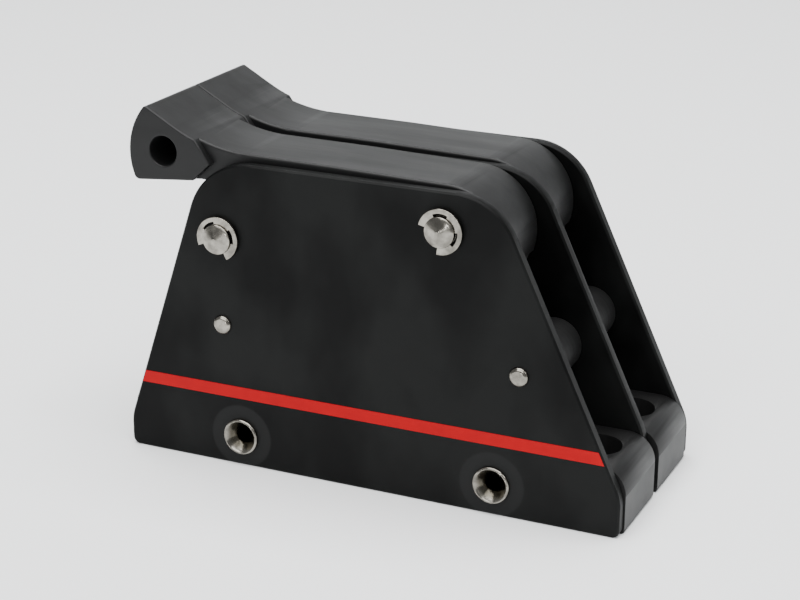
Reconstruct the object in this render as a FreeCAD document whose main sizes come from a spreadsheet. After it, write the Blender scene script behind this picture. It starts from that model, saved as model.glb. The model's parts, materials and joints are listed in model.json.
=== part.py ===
import FreeCAD, Part
import math
import os
import re

import Sketcher

# Two-line lever rope clutch for a boat's deck.
# X runs along the ropes, towards the winch. Y runs across. Z is up.
# The origin is the middle of the underside that sits on the deck. Sizes are in millimetres.

SIZES = [
    # side plates
    ("plate_thick", 2.5, "thickness of each side plate"),
    ("channel_wide", 17.75, "gap between two side plates"),
    ("plate_half", 52.6, "half length of the outer plates at the foot"),
    ("centre_half", 50.4, "half length of the centre plate at the foot"),
    ("plate_high", 62.8, "height of the side plates"),
    ("rear_base", 54.6, "where the rear slope line meets the deck"),
    ("rear_slope", 0.325, "run of the rear slope per unit of height"),
    ("front_base", 56.35, "where the front slope line meets the deck"),
    ("front_slope", 0.472, "run of the front slope per unit of height"),
    ("rear_top_round", 14.0, "radius of the rear top corner"),
    ("front_top_round", 13.0, "radius of the front top corner"),
    ("foot_round", 1.5, "radius of the bottom corners"),
    ("knee_round", 9.0, "radius where a slope meets the upright foot"),
    ("plate_edge", 0.35, "broken edge round the plate faces"),
    # printed line
    ("line_low", 14.3, "lower edge of the printed line"),
    ("line_high", 16.8, "upper edge of the printed line"),
    ("line_thick", 0.08, "thickness of the printed line"),
    # base blocks
    ("block_half", 52.9, "half length of a base block"),
    ("block_high", 13.2, "height of a base block"),
    ("block_round", 5.5, "radius of the top corner at each end"),
    ("bolt_along", 43.7, "distance of each deck bolt from the middle"),
    ("bolt_hole", 3.25, "radius of a deck bolt hole"),
    ("bolt_head_hole", 5.1, "radius of the counterbore"),
    ("bolt_head_deep", 6.5, "depth of the counterbore"),
    # bed plates
    ("bed_half", 25.0, "half length of a bed plate"),
    ("bed_wide", 17.0, "width of a bed plate"),
    ("bed_thick", 1.6, "thickness of a bed plate"),
    ("bed_recess", 1.2, "depth of its recess in the block"),
    ("rib_high", 0.6, "height of a rib on the bed plate"),
    ("rib_pitch", 3.0, "distance from rib to rib"),
    ("bed_screw_along", 22.0, "distance of each bed screw from the middle"),
    # countersunk screws
    ("screw_hole", 0.9, "radius of a screw's tapping hole"),
    ("screw_shank", 0.88, "radius of a screw's shank"),
    ("screw_head", 2.4, "radius of a screw's head"),
    ("screw_neck", 1.2, "radius where the head meets the shank"),
    ("screw_head_high", 1.2, "height of a screw's head"),
    ("screw_long", 6.0, "length of a screw's shank"),
    ("screw_pass", 1.3, "radius of a screw's clearance hole"),
    ("screw_key", 1.0, "corner radius of a screw's hexagon socket"),
    # rivets through the foot
    ("rivet_along", 27.0, "distance of each tubular rivet from the middle"),
    ("rivet_up", 6.2, "height of the rivets"),
    ("rivet_out", 3.1, "outer radius of the rivet tube"),
    ("rivet_in", 1.7, "inner radius of the rivet tube"),
    ("rivet_flare", 3.75, "radius of the rolled flare"),
    ("rivet_funnel", 1.1, "depth of the funnel under the plate's face"),
    ("rivet_proud", 0.80, "height of the flare over the plate"),
    # shafts
    ("shaft", 3.0, "radius of the two upper shafts"),
    ("lever_x", 16.0, "lever pivot, along"),
    ("lever_z", 55.3, "lever pivot, height"),
    ("jaw_x", -31.0, "jaw pivot, along"),
    ("jaw_z", 47.4, "jaw pivot, height"),
    ("groove", 2.0, "radius at the bottom of a clip groove"),
    ("groove_wide", 1.0, "width of a clip groove"),
    ("shaft_proud", 2.2, "how far a shaft end stands over the plate"),
    ("cone_high", 0.8, "height of the cone on a shaft end"),
    ("fit", 0.05, "radial running clearance"),
    # clips
    ("clip_out", 4.45, "outer radius of a clip"),
    ("clip_thick", 0.9, "thickness of a clip"),
    ("clip_notch", 3.5, "radius of the notches between the lugs"),
    ("clip_half_open", 47.0, "half of the opening, degrees"),
    # rollers
    ("pin", 1.9, "radius of a roller pin"),
    ("pin_proud", 0.8, "how far a pin end stands over the plate"),
    ("roller", 5.4, "radius of a rope roller"),
    ("roller_wide", 17.0, "width of a rope roller"),
    ("front_pin_x", 32.0, "front roller pin, along"),
    ("rear_pin_x", -30.7, "rear roller pin, along"),
    ("front_pin_z", 29.1, "height of the front roller pin"),
    ("rear_pin_z", 29.5, "height of the rear roller pin"),
    # levers
    ("lever_wide", 16.8, "width of a lever's arm"),
    ("head_wide", 20.0, "width of a lever's head"),
    ("nose", 12.0, "radius of the nose"),
    ("nose_x", 15.6, "centre of the nose, along"),
    ("nose_z", 51.4, "centre of the nose, height"),
    ("nose_corner_drop", 4.1, "how far under its centre the full width nose ends"),
    ("lobe_wide", 12.0, "width of the lobe that presses on the jaw"),
    ("bush", 4.5, "outer radius of the lever bush"),
    ("pull_x", -43.9, "cross hole in the head, along"),
    ("pull_z", 63.0, "cross hole in the head, height"),
    ("pull_hole", 3.0, "radius of the cross hole"),
    ("tip_x", -47.8, "top tip of the head, along"),
    ("tip_z", 71.75, "top tip of the head, height"),
    ("tip_round", 0.9, "radius of the tip"),
    ("heel_x", -50.3, "heel of the head, along"),
    ("heel_z", 56.5, "heel of the head, height"),
    ("heel_round", 1.2, "radius of the heel"),
    ("back_round", 14.0, "radius of the head's back"),
    ("sweep_x", -34.2, "where head and arm meet on the top, along"),
    ("sweep_z", 64.1, "where head and arm meet on the top, height"),
    ("sweep_round", 32.0, "radius of the sweep from head to arm"),
    ("cheek_x", -33.5, "front point of the head's cheek, along"),
    ("cheek_z", 61.45, "front point of the head's cheek, height"),
    ("throat_x", 1.0, "where the arm's underside turns down, along"),
    ("throat_z", 56.4, "where the arm's underside turns down, height"),
    ("head_round", 0.35, "rounding of the head's side edges"),
    ("arm_round", 0.5, "rounding of the arm's top edges"),
    # jaws
    ("jaw_wide", 16.0, "width of a jaw arm"),
    ("hub", 6.0, "radius of the jaw's hub"),
    ("hub_side", 1.0, "where the hub ends and the spring's room begins, from the middle"),
    ("spring_room", 7.0, "radius of the room for the spring"),
    ("jaw_top", 37.0, "height of the seat of the wear pad"),
    ("jaw_bottom", 22.8, "height of the seat of the grip plate"),
    ("wear_thick", 1.5, "thickness of the wear pad"),
    ("wear_wide", 13.0, "width of the wear pad"),
    ("grip_thick", 1.8, "thickness of the grip plate without its teeth"),
    ("tooth_high", 1.3, "height of a tooth"),
    ("tooth_pitch", 3.0, "distance from tooth to tooth"),
    ("grip_rear", -13.0, "rear end of the grip plate"),
    ("grip_front", 20.0, "front end of the grip plate"),
    # springs
    ("wire", 0.6, "radius of the spring wire"),
    ("coil", 4.4, "mean radius of the spring's coil"),
    ("coil_pitch", 1.35, "pitch of the coil"),
    ("coil_turns", 3.0, "turns of the coil"),
    ("coil_start", 2.0, "first turn's distance from the middle of the channel"),
    ("long_leg", 12.0, "leg that lifts the jaw"),
    ("short_leg", 6.5, "leg that is hooked into the centre plate"),
    ("hook_deep", 1.2, "how deep the hook goes into the centre plate"),
]

doc = FreeCAD.newDocument("rope_clutch")
sheet = doc.addObject("Spreadsheet::Sheet", "Sizes")
for row, (alias, number, meaning) in enumerate(SIZES, start=1):
    sheet.set("A%d" % row, meaning)
    sheet.set("B%d" % row, str(number))
    sheet.setAlias("B%d" % row, alias)
doc.recompute()

ALIASES = {alias for alias, number, meaning in SIZES}
PARTS = []


def full(text):
    """An expression with each size's alias turned into a reference to the sheet."""
    return re.sub(r"[a-z_]+", lambda word: "Sizes." + word.group() if word.group() in ALIASES
                  else word.group(), text)


def value(text):
    """The number that an expression gives."""
    answer = sheet.evalExpression(full(text))
    return float(getattr(answer, "Value", answer))


def bind(thing, name, text):
    """Ties one property of an object to the sheet."""
    thing.setExpression(name, full(text))


def start_body(label, x="0", y="0", z="0", tilt=0.0):
    """A new body, placed by expressions and turned by tilt degrees about Y."""
    body = doc.addObject("PartDesign::Body", label)
    body.Label = label
    turn = FreeCAD.Rotation(FreeCAD.Vector(0, 1, 0), tilt)
    body.Placement = FreeCAD.Placement(FreeCAD.Vector(value(x), value(y), value(z)), turn)
    for name, text in (("x", x), ("y", y), ("z", z)):
        bind(body, "Placement.Base." + name, text)
    PARTS.append(body)
    return body


def sketch_on(body, name, role, offset):
    """An empty sketch on one of the body's origin planes, moved along the plane's normal."""
    sketch = body.newObject("Sketcher::SketchObject", name)
    plane = [feature for feature in body.Origin.OriginFeatures if feature.Role == role][0]
    sketch.AttachmentSupport = [(plane, "")]
    sketch.MapMode = "FlatFace"
    bind(sketch, "AttachmentOffset.Base.z", offset)
    return sketch


def pin_point(sketch, edge, end, across, up):
    """Holds one end of a sketch edge at a place given by two expressions."""
    for kind, text in (("DistanceX", across), ("DistanceY", up)):
        rule = sketch.addConstraint(Sketcher.Constraint(kind, -1, 1, edge, end, value(text)))
        bind(sketch, "Constraints[%d]" % rule, text)


def arc_between(first, last, radius):
    """The shorter arc from first to last, with its centre on the left of the way."""
    middle = (first + last) * 0.5
    chord = last - first
    left = FreeCAD.Vector(-chord.y, chord.x, 0).normalize()
    centre = middle + left * math.sqrt(radius ** 2 - (chord.Length / 2) ** 2)
    circle = Part.Circle(centre, FreeCAD.Vector(0, 0, 1), radius)
    start = math.atan2(first.y - centre.y, first.x - centre.x)
    stop = math.atan2(last.y - centre.y, last.x - centre.x)
    if stop < start:
        stop += 2 * math.pi
    return Part.ArcOfCircle(circle, start, stop)


def outline(body, name, role, corners, offset="0"):
    """A closed outline, anticlockwise. A corner with a third entry starts an arc of that radius."""
    sketch = sketch_on(body, name, role, offset)
    places = [FreeCAD.Vector(value(corner[0]), value(corner[1]), 0) for corner in corners]
    count = len(corners)
    for i, corner in enumerate(corners):
        following = places[(i + 1) % count]
        if len(corner) == 3:
            sketch.addGeometry(arc_between(places[i], following, value(corner[2])))
        else:
            sketch.addGeometry(Part.LineSegment(places[i], following))
    for i, corner in enumerate(corners):
        sketch.addConstraint(Sketcher.Constraint("Coincident", i, 2, (i + 1) % count, 1))
        pin_point(sketch, i, 1, corner[0], corner[1])
        if len(corner) == 3:
            rule = sketch.addConstraint(Sketcher.Constraint("Radius", i, value(corner[2])))
            bind(sketch, "Constraints[%d]" % rule, corner[2])
    return sketch


def circles(body, name, role, rows, offset="0"):
    """A sketch of full circles, each given as across, up and radius."""
    sketch = sketch_on(body, name, role, offset)
    for i, (across, up, radius) in enumerate(rows):
        centre = FreeCAD.Vector(value(across), value(up), 0)
        sketch.addGeometry(Part.Circle(centre, FreeCAD.Vector(0, 0, 1), value(radius)))
        pin_point(sketch, i, 3, across, up)
        rule = sketch.addConstraint(Sketcher.Constraint("Radius", i, value(radius)))
        bind(sketch, "Constraints[%d]" % rule, radius)
    return sketch


def extrude(kind, body, name, sketch, length, side):
    """A pad or pocket: side is both, along the plane's normal, or against it."""
    feature = body.newObject("PartDesign::" + kind, name)
    feature.Profile = sketch
    bind(feature, "Length", length)
    feature.SideType = "Symmetric" if side == "both" else "One side"
    feature.Reversed = (side == "against") if kind == "Pad" else (side == "along")
    doc.recompute()
    return feature


def pad(body, name, sketch, length, side="both"):
    return extrude("Pad", body, name, sketch, length, side)


def pocket(body, name, sketch, length, side="both"):
    """A pocket, with a check that it has taken material away."""
    before = body.Shape.Volume
    feature = extrude("Pocket", body, name, sketch, length, side)
    if body.Shape.Volume >= before - 1e-6:
        raise RuntimeError("%s cuts nothing" % name)
    return feature


def revolve(body, name, sketch):
    """A full turn of a sketch on the XY plane about the body's Y axis."""
    feature = body.newObject("PartDesign::Revolution", name)
    feature.Profile = sketch
    feature.ReferenceAxis = (sketch, ["V_Axis"])
    feature.Angle = 360.0
    doc.recompute()
    return feature


def dress(kind, body, name, size, wanted):
    """A fillet or chamfer on every edge of the body that the wanted test picks."""
    base = body.Tip
    names = ["Edge%d" % i for i, edge in enumerate(base.Shape.Edges, start=1) if wanted(edge)]
    if not names:
        raise RuntimeError("%s finds no edge" % name)
    feature = body.newObject("PartDesign::" + kind, name)
    feature.Base = (base, names)
    bind(feature, "Radius" if kind == "Fillet" else "Size", size)
    doc.recompute()
    return feature


def cross_edge_at(*corners):
    """A test for straight edges along Y that pass through one of the (x, z) corners."""
    places = [(value(x), value(z)) for x, z in corners]

    def wanted(edge):
        ends = [vertex.Point for vertex in edge.Vertexes]
        if len(ends) != 2 or abs(ends[0].x - ends[1].x) + abs(ends[0].z - ends[1].z) > 1e-4:
            return False
        return any(math.hypot(ends[0].x - x, ends[0].z - z) < 0.02 for x, z in places)
    return wanted


def flat_at(axis, level, allowed=lambda box: True):
    """A test for edges that lie wholly in a plane across one axis."""
    def wanted(edge):
        box = edge.BoundBox
        low = getattr(box, axis + "Min")
        high = getattr(box, axis + "Max")
        return abs(low - level) < 1e-3 and abs(high - level) < 1e-3 and allowed(box)
    return wanted


OUTER_FACE = "(1.5 * plate_thick + channel_wide)"
PITCH = "(plate_thick + channel_wide)"
CHANNEL = "((plate_thick + channel_wide) / 2)"
# each side of the clutch: its name, the sign of its Y
SIDES = (("right", -1), ("left", 1))


def side_plate(label, middle, half, hooks):
    """One flat plate with sloping ends, bored for both shafts, both pins and both rivets."""
    body = start_body(label, y=middle)
    front_foot = "(front_base - %s) / front_slope" % half
    rear_foot = "(rear_base - %s) / rear_slope" % half
    front_top = "front_base - front_slope * plate_high"
    rear_top = "rear_slope * plate_high - rear_base"
    face = outline(body, label + "_outline", "XZ_Plane", [
        ("-" + half, "0"),
        (half, "0"),
        (half, front_foot),
        (front_top, "plate_high"),
        (rear_top, "plate_high"),
        ("-" + half, rear_foot),
    ])
    pad(body, label + "_sheet", face, "plate_thick")
    dress("Fillet", body, label + "_front_top", "front_top_round",
          cross_edge_at((front_top, "plate_high")))
    dress("Fillet", body, label + "_rear_top", "rear_top_round",
          cross_edge_at((rear_top, "plate_high")))
    dress("Fillet", body, label + "_feet", "foot_round",
          cross_edge_at(("-" + half, "0"), (half, "0")))
    dress("Fillet", body, label + "_knees", "knee_round",
          cross_edge_at(("-" + half, rear_foot), (half, front_foot)))
    edge_level = value("plate_thick") / 2
    for name, level in (("near", -edge_level), ("far", edge_level)):
        dress("Chamfer", body, label + "_" + name + "_edge", "plate_edge", flat_at("Y", level))
    holes = [
        ("lever_x", "lever_z", "shaft + fit"),
        ("jaw_x", "jaw_z", "shaft + fit"),
        ("front_pin_x", "front_pin_z", "pin + fit"),
        ("rear_pin_x", "rear_pin_z", "pin + fit"),
        ("rivet_along", "rivet_up", "rivet_out + fit"),
        ("-rivet_along", "rivet_up", "rivet_out + fit"),
    ]
    if hooks:
        holes.append(("jaw_x - short_leg", "jaw_z - coil", "wire + 2 * fit"))
    drilled = circles(body, label + "_holes", "XZ_Plane", holes)
    pocket(body, label + "_bores", drilled, "2 * plate_thick")


def printed_line(label, sign):
    """The thin coloured line across the outer face of an outer plate."""
    outside = "%d * (%s + line_thick / 2)" % (sign, OUTER_FACE)
    body = start_body(label, y=outside)
    strip = outline(body, label + "_outline", "XZ_Plane", [
        ("rear_slope * line_low - rear_base + plate_edge", "line_low"),
        ("front_base - front_slope * line_low - plate_edge", "line_low"),
        ("front_base - front_slope * line_high - plate_edge", "line_high"),
        ("rear_slope * line_high - rear_base + plate_edge", "line_high"),
    ])
    pad(body, label + "_film", strip, "line_thick")


def base_block(label, middle):
    """A moulded block between two plates, with a deck bolt hole at each end."""
    body = start_body(label, y=middle)
    profile = outline(body, label + "_outline", "XZ_Plane", [
        ("-block_half", "0"),
        ("block_half", "0"),
        ("block_half", "block_high"),
        ("-block_half", "block_high"),
    ])
    pad(body, label + "_bar", profile, "channel_wide")
    dress("Fillet", body, label + "_ends", "block_round",
          cross_edge_at(("block_half", "block_high"), ("-block_half", "block_high")))
    dress("Fillet", body, label + "_feet", "foot_round / 2",
          cross_edge_at(("block_half", "0"), ("-block_half", "0")))
    deck_bolts = [("bolt_along", "0", "bolt_hole"), ("-bolt_along", "0", "bolt_hole")]
    pocket(body, label + "_bolt_holes",
           circles(body, label + "_bolt_circles", "XY_Plane", deck_bolts), "2 * block_high")
    bolt_heads = [("bolt_along", "0", "bolt_head_hole"), ("-bolt_along", "0", "bolt_head_hole")]
    pocket(body, label + "_counterbores",
           circles(body, label + "_head_circles", "XY_Plane", bolt_heads, "block_high"),
           "2 * bolt_head_deep")
    rivets = [("rivet_along", "rivet_up", "rivet_out + fit"),
              ("-rivet_along", "rivet_up", "rivet_out + fit")]
    pocket(body, label + "_rivet_holes",
           circles(body, label + "_rivet_circles", "XZ_Plane", rivets), "2 * channel_wide")
    recess = outline(body, label + "_recess_outline", "XY_Plane", [
        ("-bed_half - fit", "-bed_wide / 2 - fit"),
        ("bed_half + fit", "-bed_wide / 2 - fit"),
        ("bed_half + fit", "bed_wide / 2 + fit"),
        ("-bed_half - fit", "bed_wide / 2 + fit"),
    ], "block_high")
    pocket(body, label + "_recess", recess, "2 * bed_recess")
    screws = [("bed_screw_along", "0", "screw_hole"), ("-bed_screw_along", "0", "screw_hole")]
    pocket(body, label + "_screw_holes",
           circles(body, label + "_screw_circles", "XY_Plane", screws, "block_high"), "16")


def bed_plate(label, middle):
    """The ribbed metal plate that the rope is pressed against."""
    body = start_body(label, y=middle, z="block_high - bed_recess")
    flat = outline(body, label + "_outline", "XY_Plane", [
        ("-bed_half", "-bed_wide / 2"),
        ("bed_half", "-bed_wide / 2"),
        ("bed_half", "bed_wide / 2"),
        ("-bed_half", "bed_wide / 2"),
    ])
    pad(body, label + "_sheet", flat, "bed_thick", "along")
    tip = "bed_thick + rib_high"
    rib = outline(body, label + "_rib_outline", "XZ_Plane", [
        ("-6 * rib_pitch - 1", "bed_thick - 0.2"),
        ("-6 * rib_pitch + 1", "bed_thick - 0.2"),
        ("-6 * rib_pitch + 1", "bed_thick"),
        ("-6 * rib_pitch + 0.3", tip),
        ("-6 * rib_pitch - 0.3", tip),
        ("-6 * rib_pitch - 1", "bed_thick"),
    ])
    ridge = pad(body, label + "_rib", rib, "bed_wide - 1")
    row = body.newObject("PartDesign::LinearPattern", label + "_ribs")
    row.Originals = [ridge]
    row.Direction = (rib, ["H_Axis"])
    bind(row, "Length", "12 * rib_pitch")
    row.Occurrences = 13
    body.Tip = row
    doc.recompute()
    screws = [("bed_screw_along", "0", "screw_pass"), ("-bed_screw_along", "0", "screw_pass")]
    pocket(body, label + "_screw_holes",
           circles(body, label + "_screw_circles", "XY_Plane", screws), "4 * bed_thick")
    hole_across = value("2 * screw_pass")
    round_edge = flat_at("Z", value("bed_thick"), lambda box: abs(box.XLength - hole_across) < 0.01)
    dress("Chamfer", body, label + "_countersinks", "screw_head_high", round_edge)


def countersunk_screws(label, places, head_level, head_down):
    """Countersunk socket screws as one group. The heads face down where head_down is true."""
    way = -1 if head_down else 1
    screws = []
    for i, (x, y) in enumerate(places):
        name = "%s_%d" % (label, i + 1)
        head = doc.addObject("Part::Cone", name + "_head")
        bind(head, "Radius1", "screw_neck")
        bind(head, "Radius2", "screw_head")
        bind(head, "Height", "screw_head_high")
        shank = doc.addObject("Part::Cylinder", name + "_shank")
        bind(shank, "Radius", "screw_shank")
        bind(shank, "Height", "screw_long")
        bind(shank, "Placement.Base.z", "0.5 - screw_long")
        blank = doc.addObject("Part::Fuse", name + "_blank")
        blank.Base = head
        blank.Tool = shank
        key = doc.addObject("Part::Prism", name + "_key")
        key.Polygon = 6
        bind(key, "Circumradius", "screw_key")
        bind(key, "Height", "2 * screw_head_high")
        bind(key, "Placement.Base.z", "0.2 * screw_head_high")
        screw = doc.addObject("Part::Cut", name)
        screw.Base = blank
        screw.Tool = key
        turn = FreeCAD.Rotation(FreeCAD.Vector(1, 0, 0), 180 if head_down else 0)
        foot = "%s - %d * screw_head_high" % (head_level, way)
        screw.Placement = FreeCAD.Placement(FreeCAD.Vector(value(x), value(y), value(foot)), turn)
        for side_name, text in (("x", x), ("y", y), ("z", foot)):
            bind(screw, "Placement.Base." + side_name, text)
        screws.append(screw)
    group = doc.addObject("Part::Compound", label)
    group.Label = label
    group.Links = screws
    doc.recompute()
    PARTS.append(group)


def shaft(label, x, z):
    """A headless shaft with a clip groove and a cone on each end."""
    body = start_body(label, x=x, z=z)
    face = OUTER_FACE
    end = face + " + shaft_proud"
    half = [("0.4", end), ("shaft", end + " - cone_high"),
            ("shaft", face + " + groove_wide"), ("groove", face + " + groove_wide"),
            ("groove", face), ("shaft", face)]
    lower = [(r, "-(%s)" % y) for r, y in half]
    corners = [("0", "-(%s)" % end)] + lower + half[::-1] + [("0", end)]
    revolve(body, label + "_turned", outline(body, label + "_outline", "XY_Plane", corners))


def roller_pin(label, x, z):
    """A plain pin pressed through the three plates, with softened ends."""
    body = start_body(label, x=x, z=z)
    end = OUTER_FACE + " + pin_proud"
    corners = [
        ("0", "-(%s)" % end),
        ("pin - 0.6", "-(%s)" % end, "1.0"),
        ("pin", "-(%s - 0.5)" % end),
        ("pin", "%s - 0.5" % end, "1.0"),
        ("pin - 0.6", end),
        ("0", end),
    ]
    revolve(body, label + "_turned", outline(body, label + "_outline", "XY_Plane", corners))


def tube_rivet(label, x):
    """An open tube through the whole foot, rolled over at both ends."""
    body = start_body(label, x=x, z="rivet_up")
    face = OUTER_FACE
    crest = "%s + rivet_proud" % face
    corners = [
        ("rivet_in", "-(%s - rivet_funnel)" % face),
        ("rivet_flare - 0.4", "-(%s)" % crest, "0.45"),
        ("rivet_flare", "-(%s + 0.2)" % face),
        ("rivet_flare", "-" + face),
        ("rivet_out", "-" + face),
        ("rivet_out", face),
        ("rivet_flare", face),
        ("rivet_flare", face + " + 0.2", "0.45"),
        ("rivet_flare - 0.4", crest),
        ("rivet_in", face + " - rivet_funnel"),
    ]
    revolve(body, label + "_turned", outline(body, label + "_outline", "XY_Plane", corners))


def clip(label, x, z, sign, facing):
    """An E-shaped retaining clip. facing is the direction of its opening, in degrees from +X."""
    middle = "%d * (%s + groove_wide / 2)" % (sign, OUTER_FACE)
    body = start_body(label, x=x, y=middle, z=z)
    disc = circles(body, label + "_disc_outline", "XZ_Plane", [("0", "0", "clip_out")])
    pad(body, label + "_disc", disc, "clip_thick")
    grip = circles(body, label + "_grip_outline", "XZ_Plane", [("0", "0", "groove + fit")])
    pocket(body, label + "_grip", grip, "2 * clip_thick")

    def polar(radius, angle):
        return "%s * cos(%s)" % (radius, angle), "%s * sin(%s)" % (radius, angle)

    mouth = outline(body, label + "_mouth_outline", "XZ_Plane", [
        ("0", "0"),
        polar("1.6 * clip_out", "%d deg - 1 deg * clip_half_open" % facing),
        polar("1.6 * clip_out", "%d deg + 1 deg * clip_half_open" % facing),
    ])
    pocket(body, label + "_mouth", mouth, "2 * clip_thick")
    for name, turn in (("first", 125), ("second", -125)):
        start = facing + turn - 24
        stop = facing + turn + 24
        notch = outline(body, "%s_%s_notch_outline" % (label, name), "XZ_Plane", [
            polar("groove", "%d deg" % start),
            polar("clip_notch", "%d deg" % start) + ("clip_notch",),
            polar("clip_notch", "%d deg" % stop),
            polar("groove", "%d deg" % stop),
        ])
        pocket(body, "%s_%s_notch" % (label, name), notch, "2 * clip_thick")


def roller(label, x, z, middle):
    """A plain plastic roller that keeps the rope down."""
    body = start_body(label, x=x, y=middle, z=z)
    corners = [
        ("pin + fit", "-roller_wide / 2"),
        ("roller - 0.8", "-roller_wide / 2", "0.8"),
        ("roller", "0.8 - roller_wide / 2"),
        ("roller", "roller_wide / 2 - 0.8", "0.8"),
        ("roller - 0.8", "roller_wide / 2"),
        ("pin + fit", "roller_wide / 2"),
    ]
    revolve(body, label + "_turned", outline(body, label + "_outline", "XY_Plane", corners))


def lever(label, middle):
    """A moulded lever: a wide head, a long arm and an eccentric nose round its pivot."""
    body = start_body(label, y=middle)
    nose_reach = "sqrt(nose ^ 2 - nose_corner_drop ^ 2)"
    profile = outline(body, label + "_outline", "XZ_Plane", [
        ("heel_x", "heel_z"),
        ("cheek_x - 3.8", "heel_z + 1.3"),
        ("throat_x", "throat_z"),
        ("nose_x - 9", "nose_z - nose_corner_drop"),
        ("nose_x + %s" % nose_reach, "nose_z - nose_corner_drop", "nose"),
        ("nose_x", "nose_z + nose"),
        ("-8", "nose_z + nose + 0.5"),
        ("sweep_x", "sweep_z"),
        ("tip_x", "tip_z", "back_round"),
    ])
    pad(body, label + "_blank", profile, "head_wide")
    dress("Fillet", body, label + "_sweep", "sweep_round", cross_edge_at(("sweep_x", "sweep_z")))
    dress("Fillet", body, label + "_throat", "6", cross_edge_at(("throat_x", "throat_z")))
    dress("Fillet", body, label + "_tip", "tip_round", cross_edge_at(("tip_x", "tip_z")))
    dress("Fillet", body, label + "_heel", "heel_round", cross_edge_at(("heel_x", "heel_z")))
    for name, way, direction in (("near", "1", "along"), ("far", "-1", "against")):
        waste = outline(body, "%s_%s_waste" % (label, name), "XZ_Plane", [
            ("cheek_x - 7.4", "cheek_z - 6.9"),
            ("cheek_x - 7.4", "nose_z - 2 * nose"),
            ("nose_x + 2 * nose", "nose_z - 2 * nose"),
            ("nose_x + 2 * nose", "nose_z + 2 * nose"),
            ("cheek_x - 9.6", "nose_z + 2 * nose"),
            ("cheek_x - 9.6", "cheek_z + 13.3"),
            ("cheek_x", "cheek_z"),
        ], way + " * lever_wide / 2")
        pocket(body, "%s_%s_side" % (label, name), waste, "head_wide", direction)
    side = value("lever_wide") / 2
    lowest = value("nose_z - nose_corner_drop - 0.1")
    rearmost = value("cheek_x + 1")

    def on_top(box):
        return box.ZMin > lowest and box.ZMax > value("throat_z + 1") and box.XMax > rearmost

    dress("Fillet", body, label + "_arm_edges", "arm_round",
          lambda edge: any(flat_at("Y", y, on_top)(edge) for y in (-side, side)))
    lobe = circles(body, label + "_lobe_outline", "XZ_Plane", [("nose_x", "nose_z", "nose")])
    pad(body, label + "_lobe", lobe, "lobe_wide")
    bores = circles(body, label + "_bore_outline", "XZ_Plane", [
        ("lever_x", "lever_z", "bush"),
        ("pull_x", "pull_z", "pull_hole"),
    ])
    pocket(body, label + "_bores", bores, "2 * head_wide")
    rim = value("head_wide") / 2
    dress("Fillet", body, label + "_head_edges", "head_round",
          lambda edge: any(flat_at("Y", y)(edge) for y in (-rim, rim)))


def lever_bush(label, middle):
    """A plain bush between the lever and its shaft."""
    body = start_body(label, x="lever_x", y=middle, z="lever_z")
    corners = [
        ("shaft + fit", "-lever_wide / 2"),
        ("bush", "-lever_wide / 2"),
        ("bush", "lever_wide / 2"),
        ("shaft + fit", "lever_wide / 2"),
    ]
    revolve(body, label + "_turned", outline(body, label + "_outline", "XY_Plane", corners))


def jaw_arm(label, middle, inward):
    """A jaw hung on the rear shaft. The spring's room is on the side of the centre plate."""
    body = start_body(label, y=middle)
    hub = circles(body, label + "_hub_outline", "XZ_Plane", [("jaw_x", "jaw_z", "hub")])
    pad(body, label + "_hub", hub, "jaw_wide")
    web = outline(body, label + "_web_outline", "XZ_Plane", [
        ("grip_rear - 1", "jaw_bottom"),
        ("grip_front + 1", "jaw_bottom"),
        ("grip_front + 4", "jaw_bottom + 5"),
        ("grip_front + 4.5", "jaw_top"),
        ("3", "jaw_top"),
        ("1", "jaw_top + 2.2"),
        ("jaw_x + 4", "jaw_z + 4.4"),
        ("jaw_x + 4.6", "jaw_z - 3.8"),
        ("grip_rear - 7", "jaw_bottom + 8"),
    ])
    pad(body, label + "_web", web, "jaw_wide")
    dress("Fillet", body, label + "_web_corners", "2.5",
          cross_edge_at(("grip_front + 1", "jaw_bottom"), ("grip_rear - 7", "jaw_bottom + 8")))
    bore = circles(body, label + "_bore_outline", "XZ_Plane", [("jaw_x", "jaw_z", "shaft + fit")])
    pocket(body, label + "_bore", bore, "2 * jaw_wide")
    inner = "%d * -hub_side" % inward
    room = circles(body, label + "_room_outline", "XZ_Plane",
                   [("jaw_x", "jaw_z", "spring_room")], inner)
    away = "against" if inward > 0 else "along"
    pocket(body, label + "_spring_room", room, "jaw_wide", away)
    groove = outline(body, label + "_groove_outline", "XZ_Plane", [
        ("jaw_x", "jaw_z - coil - wire - 1.6"),
        ("jaw_x + long_leg + 1", "jaw_z - coil - wire - 1.6"),
        ("jaw_x + long_leg + 1", "jaw_z - coil + wire + 0.2"),
        ("jaw_x", "jaw_z - coil + wire + 0.2"),
    ], inner)
    pocket(body, label + "_leg_groove", groove, "jaw_wide", away)
    screws = [("grip_rear + 5", "0", "screw_hole"), ("grip_front - 5", "0", "screw_hole")]
    pocket(body, label + "_screw_holes",
           circles(body, label + "_screw_circles", "XY_Plane", screws, "jaw_bottom"), "12")


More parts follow.
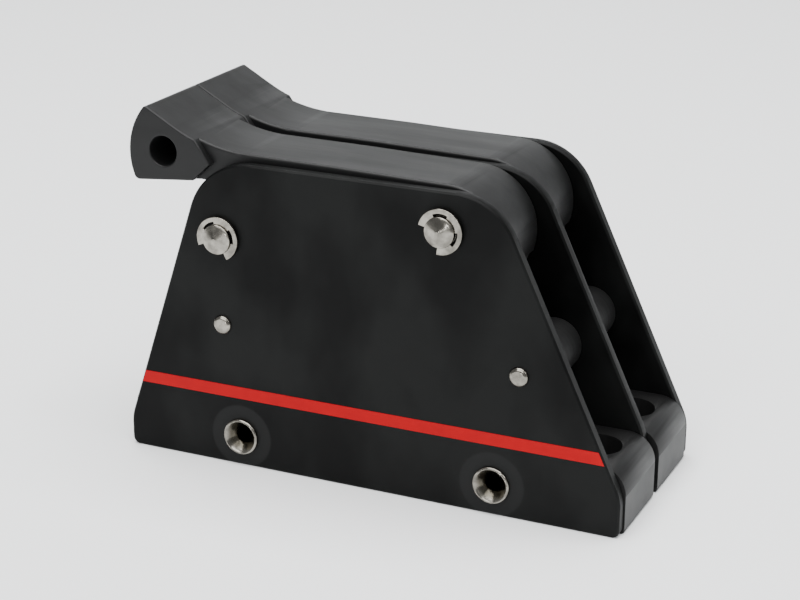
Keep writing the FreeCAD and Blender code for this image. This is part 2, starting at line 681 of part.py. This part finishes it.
def grip_plate(label, middle):
    """The toothed plate under a jaw. The teeth lean against the pull of the rope."""
    body = start_body(label, y=middle)
    flat = outline(body, label + "_outline", "XZ_Plane", [
        ("grip_rear", "jaw_bottom - grip_thick"),
        ("grip_front", "jaw_bottom - grip_thick"),
        ("grip_front", "jaw_bottom"),
        ("grip_rear", "jaw_bottom"),
    ])
    pad(body, label + "_sheet", flat, "jaw_wide - 1")
    root = "jaw_bottom - grip_thick"
    tooth = outline(body, label + "_tooth_outline", "XZ_Plane", [
        ("grip_rear + 0.2", root + " + 0.2"),
        ("grip_rear + 0.2", root),
        ("grip_rear + 0.6", root + " - tooth_high"),
        ("grip_rear + 1.0", root + " - tooth_high"),
        ("grip_rear + tooth_pitch - 0.2", root),
        ("grip_rear + tooth_pitch - 0.2", root + " + 0.2"),
    ])
    ridge = pad(body, label + "_tooth", tooth, "jaw_wide - 1")
    row = body.newObject("PartDesign::LinearPattern", label + "_teeth")
    row.Originals = [ridge]
    row.Direction = (tooth, ["H_Axis"])
    bind(row, "Length", "10 * tooth_pitch")
    row.Occurrences = 11
    body.Tip = row
    doc.recompute()
    seat = "screw_head + fit"
    screws = [("grip_rear + 5", "0", seat), ("grip_front - 5", "0", seat)]
    pocket(body, label + "_screw_seats",
           circles(body, label + "_seat_circles", "XY_Plane", screws, "jaw_bottom - 0.4"),
           "6", "against")
    shanks = [("grip_rear + 5", "0", "screw_pass"), ("grip_front - 5", "0", "screw_pass")]
    pocket(body, label + "_screw_holes",
           circles(body, label + "_shank_circles", "XY_Plane", shanks, "jaw_bottom"), "6")


def wear_pad(label, middle):
    """The hard plate on a jaw that the lever's lobe presses on."""
    body = start_body(label, y=middle, z="jaw_top")
    flat = outline(body, label + "_outline", "XZ_Plane", [
        ("4", "0"),
        ("grip_front + 4", "0"),
        ("grip_front + 4", "wear_thick - 0.3"),
        ("grip_front + 3.7", "wear_thick"),
        ("4.3", "wear_thick"),
        ("4", "wear_thick - 0.3"),
    ])
    pad(body, label + "_sheet", flat, "wear_wide")


def jaw_spring(label, middle, inward):
    """A torsion spring round the jaw shaft. Its short leg is hooked into the centre plate."""
    body = start_body(label, x="jaw_x", y=middle, z="jaw_z", tilt=90.0)
    start = "%d * coil_start" % inward
    stop = "%d * (coil_start + coil_turns * coil_pitch)" % inward
    section = circles(body, label + "_section", "XY_Plane", [("coil", start, "wire")])
    coil = body.newObject("PartDesign::AdditiveHelix", label + "_coil")
    coil.Profile = section
    coil.ReferenceAxis = (section, ["V_Axis"])
    coil.Mode = 0
    bind(coil, "Pitch", "coil_pitch")
    bind(coil, "Height", "coil_turns * coil_pitch")
    coil.Reversed = inward < 0
    coil.LeftHanded = inward < 0
    doc.recompute()
    leg = circles(body, label + "_long_leg_outline", "XY_Plane", [("coil", start, "wire")])
    pad(body, label + "_long_leg", leg, "long_leg", "along")
    tail = circles(body, label + "_short_leg_outline", "XY_Plane", [("coil", stop, "wire")])
    pad(body, label + "_short_leg", tail, "short_leg", "against")
    hook = circles(body, label + "_hook_outline", "XZ_Plane", [("coil", "-short_leg", "wire")],
                   "-(%s)" % stop)
    reach = "channel_wide / 2 - coil_start - coil_turns * coil_pitch + hook_deep"
    pad(body, label + "_hook", hook, reach, "against" if inward > 0 else "along")


side_plate("centre_plate", "0", "centre_half", hooks=True)
shaft("lever_shaft", "lever_x", "lever_z")
shaft("jaw_shaft", "jaw_x", "jaw_z")
roller_pin("front_roller_pin", "front_pin_x", "front_pin_z")
roller_pin("rear_roller_pin", "rear_pin_x", "rear_pin_z")
tube_rivet("front_tube_rivet", "rivet_along")
tube_rivet("rear_tube_rivet", "-rivet_along")

for side, sign in SIDES:
    centre = "%d * %s" % (sign, CHANNEL)
    side_plate(side + "_side_plate", "%d * %s" % (sign, PITCH), "plate_half", hooks=False)
    printed_line(side + "_printed_line", sign)
    clip(side + "_lever_clip", "lever_x", "lever_z", sign, 215)
    clip(side + "_jaw_clip", "jaw_x", "jaw_z", sign, 250)
    base_block(side + "_base_block", centre)
    bed_plate(side + "_bed_plate", centre)
    countersunk_screws(side + "_bed_screws",
                       [("bed_screw_along", centre), ("-bed_screw_along", centre)],
                       "block_high - bed_recess + bed_thick", head_down=False)
    roller(side + "_front_roller", "front_pin_x", "front_pin_z", centre)
    roller(side + "_rear_roller", "rear_pin_x", "rear_pin_z", centre)
    lever(side + "_lever", centre)
    lever_bush(side + "_lever_bush", centre)
    jaw_arm(side + "_jaw_arm", centre, -sign)
    grip_plate(side + "_grip_plate", centre)
    countersunk_screws(side + "_grip_screws",
                       [("grip_rear + 5", centre), ("grip_front - 5", centre)],
                       "jaw_bottom - 1.6", head_down=True)
    wear_pad(side + "_wear_pad", centre)
    jaw_spring(side + "_jaw_spring", centre, -sign)

doc.recompute()
for thing in doc.Objects:
    if "Invalid" in thing.State or "Error" in thing.State:
        raise RuntimeError("%s failed: %s" % (thing.Name, thing.State))
os.makedirs("parts", exist_ok=True)
for part in PARTS:
    if part.Shape.isNull() or not part.Shape.isValid():
        raise RuntimeError("%s has no valid shape" % part.Label)
    part.Shape.exportStep("parts/%s.step" % part.Label)
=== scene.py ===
import json
import math

import bpy
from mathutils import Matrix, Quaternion, Vector


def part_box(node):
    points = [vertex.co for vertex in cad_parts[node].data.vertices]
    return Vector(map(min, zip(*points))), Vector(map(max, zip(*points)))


# Looks of the two-line rope clutch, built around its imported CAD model. Everything is in metres.

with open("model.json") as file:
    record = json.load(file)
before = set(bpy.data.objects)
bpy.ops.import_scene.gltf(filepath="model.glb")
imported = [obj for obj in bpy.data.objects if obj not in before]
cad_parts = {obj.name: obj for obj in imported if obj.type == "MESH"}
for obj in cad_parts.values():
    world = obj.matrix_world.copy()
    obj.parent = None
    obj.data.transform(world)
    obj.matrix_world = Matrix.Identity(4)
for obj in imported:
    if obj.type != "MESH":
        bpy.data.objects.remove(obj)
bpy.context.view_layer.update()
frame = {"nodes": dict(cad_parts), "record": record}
NODES = frame["nodes"]
MM = 0.001
# Keeps only the part of an offset that leads away from a line along Y.
OFF_Y_LINE = (1.0, 0.0, 1.0)


# ---------------------------------------------------------------- node helpers

class Shader:
    """One material's node tree, with short calls for the nodes that it uses."""

    def __init__(self, name, slot):
        self.material = bpy.data.materials.new(name)
        self.material.use_nodes = True
        self.slot = slot
        self.tree = self.material.node_tree
        self.tree.nodes.clear()
        self.output = self.tree.nodes.new("ShaderNodeOutputMaterial")
        self.surface = self.tree.nodes.new("ShaderNodeBsdfPrincipled")
        self.tree.links.new(self.surface.outputs["BSDF"], self.output.inputs["Surface"])
        self.place = self.tree.nodes.new("ShaderNodeTexCoord").outputs["Object"]

    def node(self, kind, **settings):
        made = self.tree.nodes.new(kind)
        for name, setting in settings.items():
            setattr(made, name, setting)
        return made

    def link(self, source, target):
        self.tree.links.new(source, target)

    def stretched(self, scale):
        """The object's own coordinates, scaled per axis."""
        mapping = self.node("ShaderNodeMapping")
        mapping.inputs["Scale"].default_value = scale
        self.link(self.place, mapping.inputs["Vector"])
        return mapping.outputs["Vector"]

    def noise(self, scale, detail=4.0, rough=0.55, vector=None):
        made = self.node("ShaderNodeTexNoise")
        made.inputs["Scale"].default_value = scale
        made.inputs["Detail"].default_value = detail
        made.inputs["Roughness"].default_value = rough
        self.link(vector or self.place, made.inputs["Vector"])
        return made.outputs["Fac"]

    def ramp(self, factor, stops):
        """A colour for each level of factor. A single number stands for a grey."""
        made = self.node("ShaderNodeValToRGB")
        elements = made.color_ramp.elements
        while len(elements) < len(stops):
            elements.new(0.5)
        for element, (position, color) in zip(elements, stops):
            element.position = position
            channels = (color, color, color) if isinstance(color, float) else color
            element.color = (*channels, 1.0)
        self.link(factor, made.inputs["Fac"])
        return made.outputs["Color"]

    def maths(self, operation, first, second):
        made = self.node("ShaderNodeMath", operation=operation)
        for socket, source in zip(made.inputs, (first, second)):
            if isinstance(source, (int, float)):
                socket.default_value = source
            else:
                self.link(source, socket)
        return made.outputs["Value"]

    def blend(self, factor, first, second):
        made = self.node("ShaderNodeMix", data_type="RGBA")
        for name, source in (("Factor", factor), ("A", first), ("B", second)):
            socket = [s for s in made.inputs if s.name == name and s.enabled][0]
            if isinstance(source, (int, float)):
                socket.default_value = source
            elif isinstance(source, tuple):
                socket.default_value = (*source, 1.0)
            else:
                self.link(source, socket)
        return [s for s in made.outputs if s.enabled][0]

    def spot(self, centre, inner, outer):
        """1 within inner of a line along Y through centre, fading to 0 at outer."""
        offset = self.node("ShaderNodeVectorMath", operation="SUBTRACT")
        self.link(self.place, offset.inputs[0])
        offset.inputs[1].default_value = centre
        masked = self.node("ShaderNodeVectorMath", operation="MULTIPLY")
        self.link(offset.outputs["Vector"], masked.inputs[0])
        masked.inputs[1].default_value = OFF_Y_LINE
        length = self.node("ShaderNodeVectorMath", operation="LENGTH")
        self.link(masked.outputs["Vector"], length.inputs[0])
        fade = self.node("ShaderNodeMapRange", interpolation_type="SMOOTHSTEP")
        self.link(length.outputs["Value"], fade.inputs["Value"])
        fade.inputs["From Min"].default_value = inner
        fade.inputs["From Max"].default_value = outer
        fade.inputs["To Min"].default_value = 1.0
        fade.inputs["To Max"].default_value = 0.0
        return fade.outputs["Result"]

    def bump(self, height, strength, distance):
        made = self.node("ShaderNodeBump")
        made.inputs["Strength"].default_value = strength
        made.inputs["Distance"].default_value = distance
        self.link(height, made.inputs["Height"])
        self.link(made.outputs["Normal"], self.surface.inputs["Normal"])

    def color(self, source):
        self.link(source, self.surface.inputs["Base Color"])

    def roughness(self, source):
        self.link(source, self.surface.inputs["Roughness"])

    def fixed(self, **values):
        for name, number in values.items():
            self.surface.inputs[name.replace("_", " ")].default_value = number


# ---------------------------------------------------------------- materials

def centre_of(node):
    low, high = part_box(node)
    return (low + high) / 2


def round_rivets(s, inner, outer):
    """1 within inner millimetres of a tubular rivet's middle line, fading to 0 at outer."""
    front, rear = (s.spot(centre_of(name), inner * MM, outer * MM)
                   for name in ("front_tube_rivet", "rear_tube_rivet"))
    return s.maths("MAXIMUM", front, rear)


def anodised_plate():
    """Black anodised sheet: satin, very fine grain, smudges, a faint disc round each rivet."""
    s = Shader("anodised_black", "anodised_plate")
    smudges = s.noise(52.0, 3.0, 0.5, s.stretched((1.0, 1.0, 0.6)))
    clouds = s.noise(90.0, 5.0, 0.6)
    grain = s.noise(5200.0, 2.0, 0.5)
    tone = s.ramp(smudges, [(0.42, (0.0008, 0.0009, 0.0009)), (0.60, (0.0055, 0.0059, 0.0057))])
    marks = round_rivets(s, 6.3, 6.9)
    s.color(s.blend(s.maths("MULTIPLY", marks, 0.7), tone, (0.0120, 0.0124, 0.0124)))
    s.roughness(s.ramp(clouds, [(0.3, 0.42), (0.7, 0.52)]))
    s.fixed(Specular_IOR_Level=0.10)
    s.bump(grain, 0.14, 0.02 * MM)
    return s


def moulded_block():
    """Glass-filled nylon with a fine moulded grain."""
    s = Shader("moulded_black_nylon", "moulded_block")
    clouds = s.noise(60.0, 4.0, 0.6)
    grain = s.noise(2600.0, 3.0, 0.6)
    s.color(s.ramp(clouds, [(0.3, (0.0040, 0.0040, 0.0040)), (0.7, (0.0070, 0.0070, 0.0070))]))
    s.roughness(s.ramp(clouds, [(0.3, 0.40), (0.7, 0.50)]))
    s.fixed(Specular_IOR_Level=0.26)
    s.bump(grain, 0.25, 0.03 * MM)
    return s


def moulded_lever():
    """Glass-filled nylon whose flow lines run along the arm."""
    s = Shader("moulded_lever_nylon", "moulded_lever")
    flow = s.noise(210.0, 5.0, 0.62, s.stretched((0.16, 1.0, 1.0)))
    clouds = s.noise(45.0, 3.0, 0.5)
    grain = s.noise(2400.0, 3.0, 0.6)
    base = s.ramp(flow, [(0.30, (0.0030, 0.0031, 0.0031)), (0.72, (0.0075, 0.0076, 0.0078))])
    s.color(s.blend(s.maths("MULTIPLY", clouds, 0.5), base, (0.0045, 0.0046, 0.0046)))
    s.roughness(s.ramp(flow, [(0.25, 0.50), (0.75, 0.40)]))
    s.fixed(Specular_IOR_Level=0.26)
    s.bump(grain, 0.30, 0.03 * MM)
    return s


def turned_steel(name, slot, tint, rough, rings):
    """Stainless steel with fine turning or rolling lines, gentle waves, and painted shade
    darkening the rivet funnels and bores.
    """
    s = Shader(name, slot)
    lines = s.noise(900.0, 4.0, 0.65, s.stretched(rings))
    clouds = s.noise(380.0, 3.0, 0.55)
    darker = tuple(channel * 0.50 for channel in tint)
    tone = s.ramp(clouds, [(0.40, darker), (0.62, tint)])
    # Painted shade: steel within 2.4 mm of each rivet's middle line is painted a dark brownish
    # grey, fading out by 3.3 mm, in place of the shade inside the rivet funnels and bores.
    s.color(s.blend(round_rivets(s, 2.4, 3.3), tone, (0.085, 0.078, 0.062)))
    s.roughness(s.ramp(lines, [(0.3, rough - 0.05), (0.7, rough + 0.08)]))
    s.fixed(Metallic=1.0)
    waves = s.maths("MULTIPLY", s.noise(380.0, 1.0, 0.4), 18.0)
    s.bump(s.maths("ADD", waves, lines), 0.30, 0.03 * MM)
    return s


def printed_line():
    """Red ink, matt against the plate."""
    s = Shader("printed_red_line", "printed_line")
    clouds = s.noise(220.0, 3.0, 0.5)
    s.color(s.ramp(clouds, [(0.3, (0.33, 0.0, 0.004)), (0.7, (0.38, 0.0, 0.004))]))
    s.fixed(Specular_IOR_Level=0.1)
    s.roughness(s.ramp(clouds, [(0.3, 0.50), (0.7, 0.58)]))
    s.bump(s.noise(3000.0, 2.0, 0.5), 0.08, 0.01 * MM)
    return s


def roller_plastic():
    """Black acetal with fine turning rings."""
    s = Shader("black_acetal", "roller_plastic")
    rings = s.noise(1500.0, 2.0, 0.5, s.stretched((0.05, 1.0, 0.05)))
    s.color(s.ramp(s.noise(80.0), [(0.3, (0.005, 0.005, 0.005)), (0.7, (0.008, 0.008, 0.008))]))
    s.fixed(Specular_IOR_Level=0.22)
    s.roughness(s.ramp(rings, [(0.3, 0.42), (0.7, 0.52)]))
    s.bump(rings, 0.15, 0.02 * MM)
    return s


def acetal_bush():
    """Natural acetal, pale and slightly waxy."""
    s = Shader("natural_acetal", "acetal_bush")
    s.color(s.ramp(s.noise(200.0), [(0.3, (0.66, 0.65, 0.60)), (0.7, (0.76, 0.75, 0.71))]))
    s.roughness(s.ramp(s.noise(700.0), [(0.3, 0.38), (0.7, 0.46)]))
    s.bump(s.noise(1800.0), 0.1, 0.02 * MM)
    return s


def cast_jaw():
    """A hard anodised casting with a coarse skin."""
    s = Shader("hard_anodised_casting", "cast_jaw")
    clouds = s.noise(90.0, 5.0, 0.6)
    s.color(s.ramp(clouds, [(0.3, (0.020, 0.020, 0.021)), (0.7, (0.032, 0.032, 0.033))]))
    s.roughness(s.ramp(clouds, [(0.3, 0.45), (0.7, 0.58)]))
    s.fixed(Metallic=0.6)
    s.bump(s.noise(1700.0, 4.0, 0.7), 0.35, 0.05 * MM)
    return s


MATERIALS = {shader.slot: shader.material for shader in (
    anodised_plate(),
    moulded_block(),
    moulded_lever(),
    turned_steel("turned_stainless", "stainless", (0.31, 0.294, 0.258), 0.20, (0.4, 1.0, 0.4)),
    turned_steel("pressed_stainless", "bed_metal", (0.40, 0.39, 0.37), 0.34, (0.1, 1.0, 0.1)),
    turned_steel("spring_wire", "spring_steel", (0.42, 0.41, 0.39), 0.28, (1.0, 1.0, 1.0)),
    printed_line(),
    roller_plastic(),
    acetal_bush(),
    cast_jaw(),
)}
SLOT_OF = {entry["node"]: entry["material_slot"] for entry in frame["record"]["subparts"]}


# ---------------------------------------------------------------- CAD nodes

def soften(piece, width, angle_deg=32.0):
    """Joins split vertices, rounds hard edges by width and smooths the rest."""
    weld = piece.modifiers.new("weld", "WELD")
    weld.merge_threshold = 0.002 * MM
    bevel = piece.modifiers.new("bevel", "BEVEL")
    bevel.width = width
    bevel.segments = 2
    bevel.limit_method = "ANGLE"
    bevel.angle_limit = math.radians(angle_deg)
    bevel.harden_normals = True
    bevel.use_clamp_overlap = True


# Rounding of each slot's hard edges, in millimetres.
SOFT_EDGE = {
    "anodised_plate": 0.10, "moulded_block": 0.08, "moulded_lever": 0.15, "stainless": 0.10,
    "bed_metal": 0.06, "spring_steel": 0.0, "printed_line": 0.0, "roller_plastic": 0.12,
    "acetal_bush": 0.08, "cast_jaw": 0.25,
}


def dress_node(name, piece):
    slot = SLOT_OF[name]
    piece.data.materials.clear()
    piece.data.materials.append(MATERIALS[slot])
    if SOFT_EDGE[slot]:
        soften(piece, SOFT_EDGE[slot] * MM)


for node_name, node_piece in NODES.items():
    dress_node(node_name, node_piece)


# ---------------------------------------------------------------- studio

def plain_material(name, color, rough):
    made = bpy.data.materials.new(name)
    made.use_nodes = True
    surface = made.node_tree.nodes["Principled BSDF"]
    surface.inputs["Base Color"].default_value = (*color, 1.0)
    surface.inputs["Roughness"].default_value = rough
    return made


def studio_sweep():
    """A pale floor that curves up into a pale wall behind the object."""
    half_wide = 3.0
    front = -2.0
    back = 1.6
    bend = 0.7
    rows = [(front, 0.0), (back - bend, 0.0)]
    steps = 16
    for i in range(1, steps + 1):
        turn = math.pi / 2 * i / steps
        rows.append((back - bend + bend * math.sin(turn), bend - bend * math.cos(turn)))
    rows.append((back, 3.0))
    vertices = [(x, y, z) for y, z in rows for x in (-half_wide, half_wide)]
    faces = [(2 * i, 2 * i + 1, 2 * i + 3, 2 * i + 2) for i in range(len(rows) - 1)]
    mesh = bpy.data.meshes.new("studio_sweep")
    mesh.from_pydata(vertices, [], faces)
    for polygon in mesh.polygons:
        polygon.use_smooth = True
    sweep = bpy.data.objects.new("studio_sweep", mesh)
    mesh.materials.append(plain_material("pale_paper", (0.86, 0.87, 0.875), 0.9))
    bpy.context.scene.collection.objects.link(sweep)


def soft_light(name, place, aim, size, power, color=(1.0, 1.0, 1.0)):
    lamp = bpy.data.lights.new(name, "AREA")
    lamp.shape = "RECTANGLE"
    lamp.size, lamp.size_y = size
    lamp.energy = power
    lamp.color = color
    made = bpy.data.objects.new(name, lamp)
    made.location = place
    made.rotation_euler = (Vector(aim) - Vector(place)).to_track_quat("-Z", "Y").to_euler()
    bpy.context.scene.collection.objects.link(made)


def studio_lights():
    middle = (0.0, 0.0, 0.03)
    soft_light("overhead", (0.0, 0.05, 1.1), (0.0, 0.15, 0.0), (1.2, 1.0), 31.0)
    soft_light("back_panel", (-0.55, 1.25, 0.50), middle, (0.7, 0.35), 0.6)
    soft_light("right_window", (0.75, -0.1, 0.6), middle, (0.25, 0.25), 1.2)
    soft_light("floor_wash", (0.0, -0.9, 0.9), (0.0, -0.35, 0.0), (1.2, 0.5), 10.0)
    soft_light("flash", (0.10, -0.95, 0.19), middle, (0.07, 0.07), 0.8)
    world = bpy.data.worlds.new("studio_air")
    world.use_nodes = True
    background = world.node_tree.nodes["Background"]
    background.inputs["Color"].default_value = (0.97, 0.985, 1.0, 1.0)
    background.inputs["Strength"].default_value = 0.40
    bpy.context.scene.world = world


def studio_camera():
    """Looks down at the near face from the front right."""
    azimuth = math.radians(24.37)
    elevation = math.radians(19.72)
    roll = math.radians(0.33)
    distance = 0.4022
    target = Vector((-0.00204, 0.0, 0.03208))
    away = Vector((math.sin(azimuth) * math.cos(elevation),
                   -math.cos(azimuth) * math.cos(elevation),
                   math.sin(elevation)))
    lens = bpy.data.cameras.new("studio_camera")
    lens.sensor_width = 36.0
    lens.lens = 90.21
    lens.clip_start = 0.01
    camera = bpy.data.objects.new("studio_camera", lens)
    camera.location = target + away * distance
    aim = (-away).to_track_quat("-Z", "Y")
    camera.rotation_euler = (aim @ Quaternion((0.0, 0.0, 1.0), roll)).to_euler()
    bpy.context.scene.collection.objects.link(camera)
    bpy.context.scene.camera = camera


studio_sweep()
studio_lights()
studio_camera()
